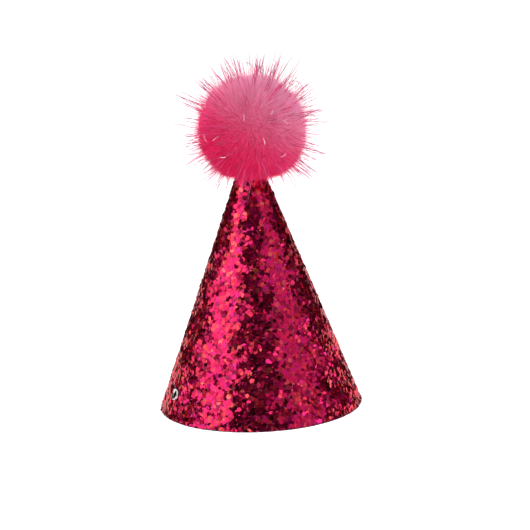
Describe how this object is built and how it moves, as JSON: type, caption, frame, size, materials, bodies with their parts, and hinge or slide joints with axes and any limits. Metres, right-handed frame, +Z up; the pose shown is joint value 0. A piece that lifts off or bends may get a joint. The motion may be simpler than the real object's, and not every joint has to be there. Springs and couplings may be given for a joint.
{
  "type": "party hat",
  "caption": "Cone party hat: card shell under crimson chunky-glitter cloth, lapped seam at the back, eyelets near the rim, and a furry pink pom-pom tied on the tip.",
  "frame": {"origin": "centre of the rim, on the plane the hat stands on, on the cone's axis", "axes": "+Z up along the cone's axis to the pom-pom, -Y towards the hat's front, +Y towards the lapped seam, +X to the right seen from the front"},
  "size_m": [0.0986, 0.0997, 0.167],
  "materials": {
    "card": "matte",
    "glitter_cloth": "gloss",
    "tape": "satin",
    "eyelet_metal": "polished",
    "washer_board": "matte",
    "cord": "matte",
    "fur": "satin",
    "filling": "matte"
  },
  "bodies": {
    "hat": {"card_cone": "card", "glitter_cover": "glitter_cloth", "seam_tape": "tape", "eyelet_left": "eyelet_metal", "eyelet_right": "eyelet_metal", "eyelet_washer_left": "eyelet_metal", "eyelet_washer_right": "eyelet_metal", "tip_washer": "washer_board", "tie_knot": "cord"},
    "tie": {"tie_cord": "cord"},
    "drawstring": {"drawstring": "cord"},
    "pom": {"pom_pelt": "fur", "pom_filling": "filling"}
  },
  "joints": [
    {"name": "pom_lean_side", "type": "hinge", "parent": "hat", "child": "tie", "pos_m": [0, 0, 0.118], "axis": [0, 1, 0], "range_deg": [-12, 12], "stiffness_Nm_per_rad": 0.03},
    {"name": "pom_lean_front", "type": "hinge", "parent": "tie", "child": "drawstring", "pos_m": [0, 0, 0.118], "axis": [1, 0, 0], "range_deg": [-12, 12], "stiffness_Nm_per_rad": 0.03},
    {"name": "pom_twist", "type": "hinge", "parent": "drawstring", "child": "pom", "pos_m": [0, 0, 0.118], "axis": [0, 0, 1], "range_deg": [-30, 30], "stiffness_Nm_per_rad": 0.004}
  ]
}
